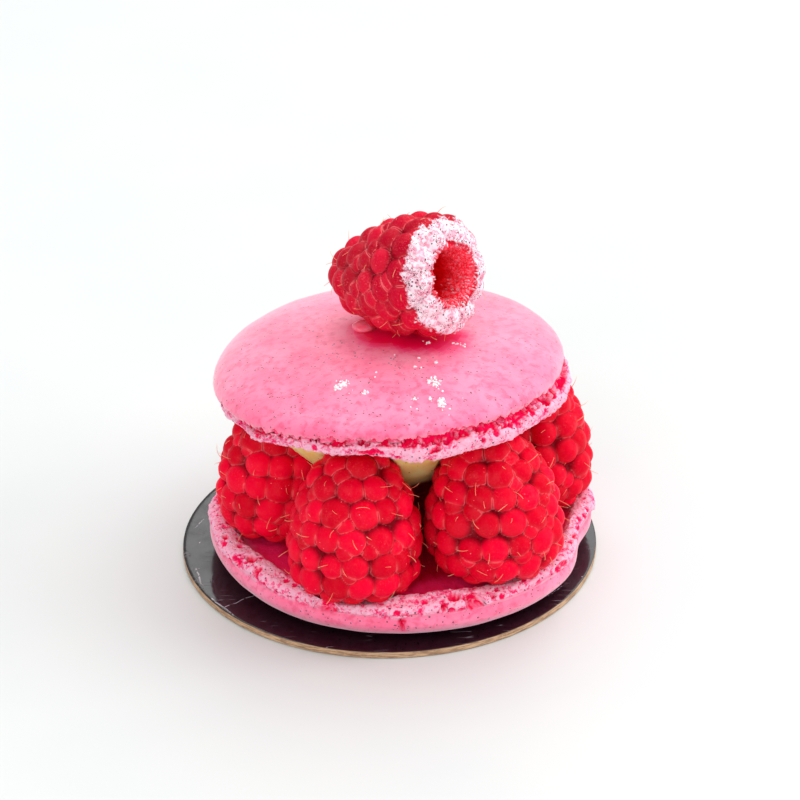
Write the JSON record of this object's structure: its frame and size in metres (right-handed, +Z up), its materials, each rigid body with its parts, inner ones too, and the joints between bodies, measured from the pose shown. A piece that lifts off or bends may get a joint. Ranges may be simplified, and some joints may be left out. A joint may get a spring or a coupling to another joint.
{
  "type": "french macaron",
  "caption": "Round almond macaron filled with a ring of upright raspberries and custard, topped with one raspberry lying on its side, on a thin round pastry card.",
  "frame": {"origin": "centre of the underside of the round pastry card", "axes": "+Z up through the stack; -Y is the side the open end of the top raspberry faces most, +X to its right"},
  "size_m": [0.0798, 0.08, 0.0724],
  "materials": {
    "pastry_card": "thin round board, dark and glossy above, bare brown fibre at the edge",
    "almond_shell": "smooth satin pink meringue skin with fine specks, rough pale ruffled foot",
    "custard": "soft pale yellow custard with a few dark specks",
    "raspberry_flesh": "juicy crimson drupelets with a fine pale bloom and a few short hairs",
    "sugar_gel": "clear glossy pink drop"
  },
  "bodies": {
    "root": {"card": "pastry_card", "shell_bottom": "almond_shell", "cream": "custard", "berry_1": "raspberry_flesh", "berry_2": "raspberry_flesh", "berry_3": "raspberry_flesh", "berry_4": "raspberry_flesh", "berry_5": "raspberry_flesh", "berry_6": "raspberry_flesh", "shell_top": "almond_shell", "berry_top": "raspberry_flesh", "glue_drop": "sugar_gel"}
  },
  "joints": []
}
